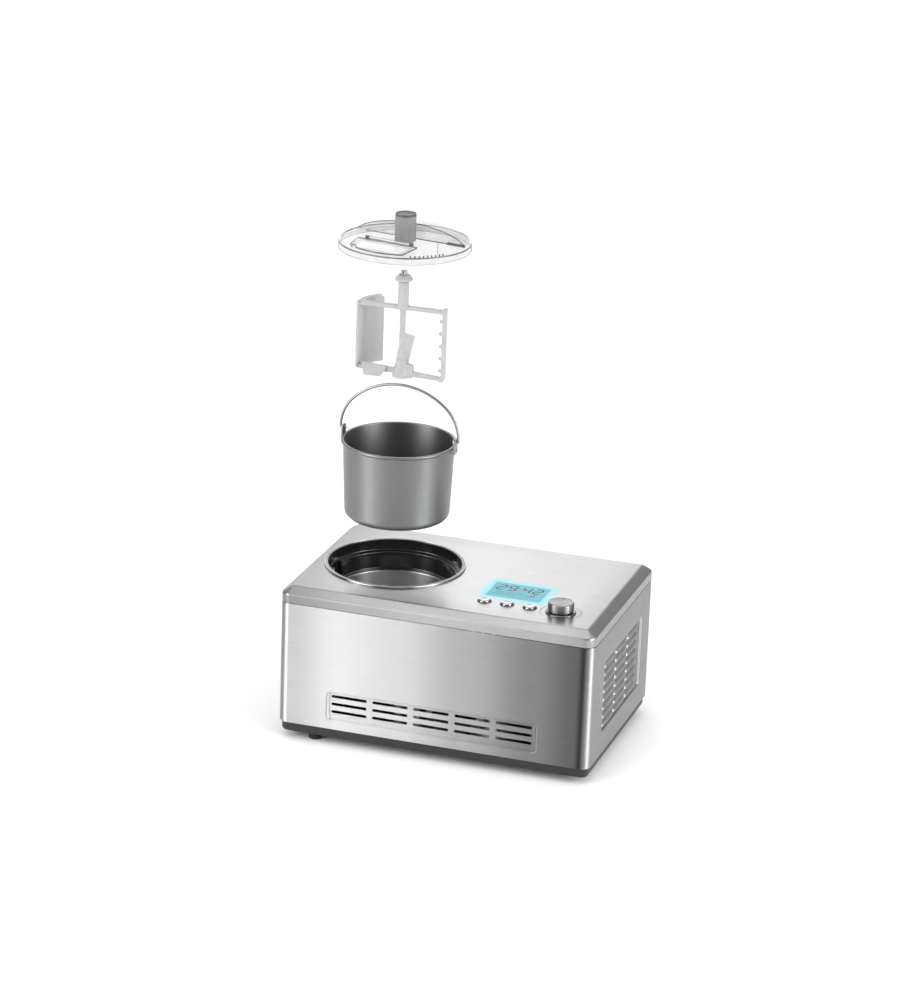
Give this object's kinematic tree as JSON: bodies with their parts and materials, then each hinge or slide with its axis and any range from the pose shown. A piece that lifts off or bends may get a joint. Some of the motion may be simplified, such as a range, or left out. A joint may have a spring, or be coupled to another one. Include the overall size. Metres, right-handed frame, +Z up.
{
  "type": "ice cream maker",
  "caption": "Compressor ice cream maker shown opened out: brushed steel casing with a cooling well, and bucket, paddle and clear lid lifted above it.",
  "frame": {"origin": "on the ground under the centre of the casing", "axes": "+Z up, -Y towards the user at the front, +X to the user's right; the longest extent is the height with the bucket, paddle and lid lifted clear"},
  "size_m": [0.425, 0.285, 0.6872],
  "materials": {
    "brushed_steel": "fine horizontal brushing",
    "screw_steel": "plated",
    "black_plastic": "fine moulded grain",
    "black_rubber": "matt",
    "black_chrome": "polished dark ring",
    "vessel_metal": "brushed round the axis",
    "copper": "drawn copper tube",
    "foam": "expanded foam",
    "motor_steel": "zinc plated can",
    "bronze": "sintered",
    "gear_nylon": "natural nylon",
    "compressor_black": "black paint",
    "fin_aluminium": "mill finish",
    "lit_display": "backlit liquid crystal display",
    "button_steel": "polished",
    "knob_metal": "turned",
    "circuit_board": "green solder mask",
    "bucket_aluminium": "matt anodised",
    "bail_wire": "bright wire",
    "paddle_plastic": "milky translucent",
    "clear_lid": "clear plastic",
    "tower_grey": "smoky ribbed plastic"
  },
  "bodies": {
    "casing": {"top_cover": "brushed_steel", "body_wrap": "brushed_steel", "front_grille": "brushed_steel", "side_grille": "brushed_steel", "rear_panel": "brushed_steel", "rear_panel_screws": "screw_steel", "cord_gland": "black_plastic", "base_tray": "black_plastic", "rubber_feet": "black_rubber", "foot_screws": "screw_steel", "well_collar": "black_plastic", "well_trim_ring": "black_chrome", "cooling_vessel": "vessel_metal", "evaporator_coil": "copper", "vessel_insulation": "foam", "drive_motor": "motor_steel", "gear_case": "black_plastic", "gear_case_cover": "black_plastic", "shaft_bearing": "bronze", "shaft_seal": "black_rubber", "drive_bracket": "screw_steel", "chassis_plate": "screw_steel", "compressor": "compressor_black", "compressor_bracket": "screw_steel", "compressor_grommets": "black_rubber", "condenser": "fin_aluminium", "fan_frame": "black_plastic", "fan_motor": "black_plastic", "filter_drier": "copper", "refrigerant_pipes": "copper", "display_window": "lit_display", "display_module": "black_plastic", "button_rings": "button_steel", "button_switches": "black_plastic", "control_board": "circuit_board", "board_posts": "black_plastic", "knob_collar": "black_plastic", "rotary_encoder": "black_plastic", "power_board": "circuit_board", "board_components": "black_plastic"},
    "drive": {"drive_gear": "gear_nylon", "drive_shaft": "screw_steel"},
    "pinion": {"motor_pinion": "gear_nylon", "motor_shaft": "screw_steel"},
    "fan": {"fan_rotor": "black_plastic"},
    "knob": {"control_knob": "knob_metal", "encoder_shaft": "screw_steel"},
    "left_button": {"left_button": "button_steel"},
    "middle_button": {"middle_button": "button_steel"},
    "right_button": {"right_button": "button_steel"},
    "bucket": {"bucket": "bucket_aluminium", "bucket_ears": "bucket_aluminium"},
    "bail": {"bail": "bail_wire"},
    "bush": {"paddle_bush": "paddle_plastic"},
    "paddle": {"mixing_paddle": "paddle_plastic"},
    "lid": {"lid_shell": "clear_lid", "lid_tower": "tower_grey", "tower_cap": "clear_lid", "flap_hinge_pin": "screw_steel"},
    "flap": {"lid_flap": "clear_lid"}
  },
  "joints": [
    {"name": "bucket_lift", "type": "slide", "parent": "casing", "child": "bucket", "axis": [0, 0, 1], "range_m": [-0.19, 0]},
    {"name": "bail_swing", "type": "hinge", "parent": "bucket", "child": "bail", "pos_m": [-0.1035, 0, 0.3893], "axis": [1, 0, 0], "range_deg": [0, 90]},
    {"name": "paddle_lift", "type": "slide", "parent": "bucket", "child": "bush", "axis": [0, 0, 1], "range_m": [-0.188, 0]},
    {"name": "paddle_spin", "type": "hinge", "parent": "bush", "child": "paddle", "pos_m": [-0.1035, 0, 0.6], "axis": [0, 0, 1], "continuous": true},
    {"name": "lid_lift", "type": "slide", "parent": "bush", "child": "lid", "axis": [0, 0, 1], "range_m": [-0.066, 0]},
    {"name": "flap_hinge", "type": "hinge", "parent": "lid", "child": "flap", "pos_m": [-0.10732, -0.02167, 0.6536], "axis": [-0.9848, 0.1736, 0], "range_deg": [0, 85]},
    {"name": "drive_spin", "type": "hinge", "parent": "casing", "child": "drive", "pos_m": [-0.1035, 0, 0.07], "axis": [0, 0, 1], "continuous": true},
    {"name": "pinion_spin", "type": "hinge", "parent": "casing", "child": "pinion", "pos_m": [-0.0675, -0.0429, 0.07], "axis": [0, 0, 1], "continuous": true},
    {"name": "fan_spin", "type": "hinge", "parent": "casing", "child": "fan", "pos_m": [0.165, 0, 0.095], "axis": [1, 0, 0], "continuous": true},
    {"name": "knob_turn", "type": "hinge", "parent": "casing", "child": "knob", "pos_m": [0.15, -0.084, 0.218], "axis": [0, 0, 1], "continuous": true},
    {"name": "left_press", "type": "slide", "parent": "casing", "child": "left_button", "axis": [0, 0, -1], "range_m": [0, 0.0012], "stiffness_N_per_m": 400},
    {"name": "middle_press", "type": "slide", "parent": "casing", "child": "middle_button", "axis": [0, 0, -1], "range_m": [0, 0.0012], "stiffness_N_per_m": 400},
    {"name": "right_press", "type": "slide", "parent": "casing", "child": "right_button", "axis": [0, 0, -1], "range_m": [0, 0.0012], "stiffness_N_per_m": 400}
  ],
  "couplings": [
    {"joint": "bail_swing", "follows": "paddle_lift", "rad_per_m": -8.355},
    {"joint": "paddle_spin", "follows": "drive_spin", "ratio": 1},
    {"joint": "pinion_spin", "follows": "drive_spin", "ratio": -3}
  ]
}
